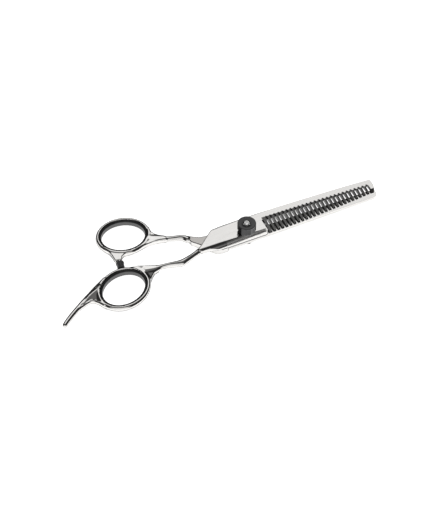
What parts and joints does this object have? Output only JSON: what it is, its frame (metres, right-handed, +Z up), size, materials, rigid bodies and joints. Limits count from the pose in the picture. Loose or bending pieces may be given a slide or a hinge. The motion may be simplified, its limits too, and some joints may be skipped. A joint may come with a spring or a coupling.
{
  "type": "thinning shears",
  "caption": "Hair thinning shears with a single toothed comb blade over a plain blade, oval finger rings, a fixed finger rest and a screw tension knob.",
  "frame": {"origin": "on the pivot axis, at the flat underside of the pivot screw's head, which rests on the table", "axes": "+X along the closed blades to their tips, +Y to the comb blade's spine side, +Z up out of the tension knob"},
  "size_m": [0.1733, 0.055, 0.0132],
  "materials": {
    "blade_steel": "fine satin ground stainless steel",
    "handle_steel": "mirror polished stainless steel",
    "screw_steel": "polished stainless steel",
    "spring_steel": "hardened spring steel",
    "insert_rubber": "smooth moulded rubber",
    "bumper_rubber": "matt moulded rubber",
    "bush_brass": "turned brass",
    "glide_ptfe": "waxy white low-friction plastic",
    "knob_plastic": "gloss black moulded plastic"
  },
  "bodies": {
    "thumb_half": {"edge_blade": "blade_steel", "thumb_handle": "handle_steel", "thumb_insert": "insert_rubber", "bumper_stud": "screw_steel", "bumper_pad": "bumper_rubber", "pivot_screw": "screw_steel", "knob_cap_screw": "screw_steel", "base_washer": "screw_steel", "tension_spring": "spring_steel"},
    "finger_half": {"comb_blade": "blade_steel", "finger_handle": "handle_steel", "finger_insert": "insert_rubber", "pivot_bush": "bush_brass", "glide_washer": "glide_ptfe"},
    "click_carrier": {"click_plate": "screw_steel"},
    "knob": {"tension_knob": "knob_plastic", "knob_core": "bush_brass", "click_balls": "spring_steel", "click_springs": "spring_steel"}
  },
  "joints": [
    {"name": "blade_pivot", "type": "hinge", "parent": "thumb_half", "child": "finger_half", "pos_m": [0, 0, 0.0036], "axis": [0, 0, 1], "range_deg": [0, 75]},
    {"name": "knob_advance", "type": "slide", "parent": "thumb_half", "child": "click_carrier", "axis": [0, 0, 1], "range_m": [-0.000225, 0.00045], "deforming": ["tension_spring"]},
    {"name": "knob_turn", "type": "hinge", "parent": "click_carrier", "child": "knob", "pos_m": [0, 0, 0.0083], "axis": [0, 0, 1], "range_deg": [-180, 360]}
  ],
  "couplings": [
    {"joint": "knob_turn", "follows": "knob_advance", "rad_per_m": 13963}
  ]
}
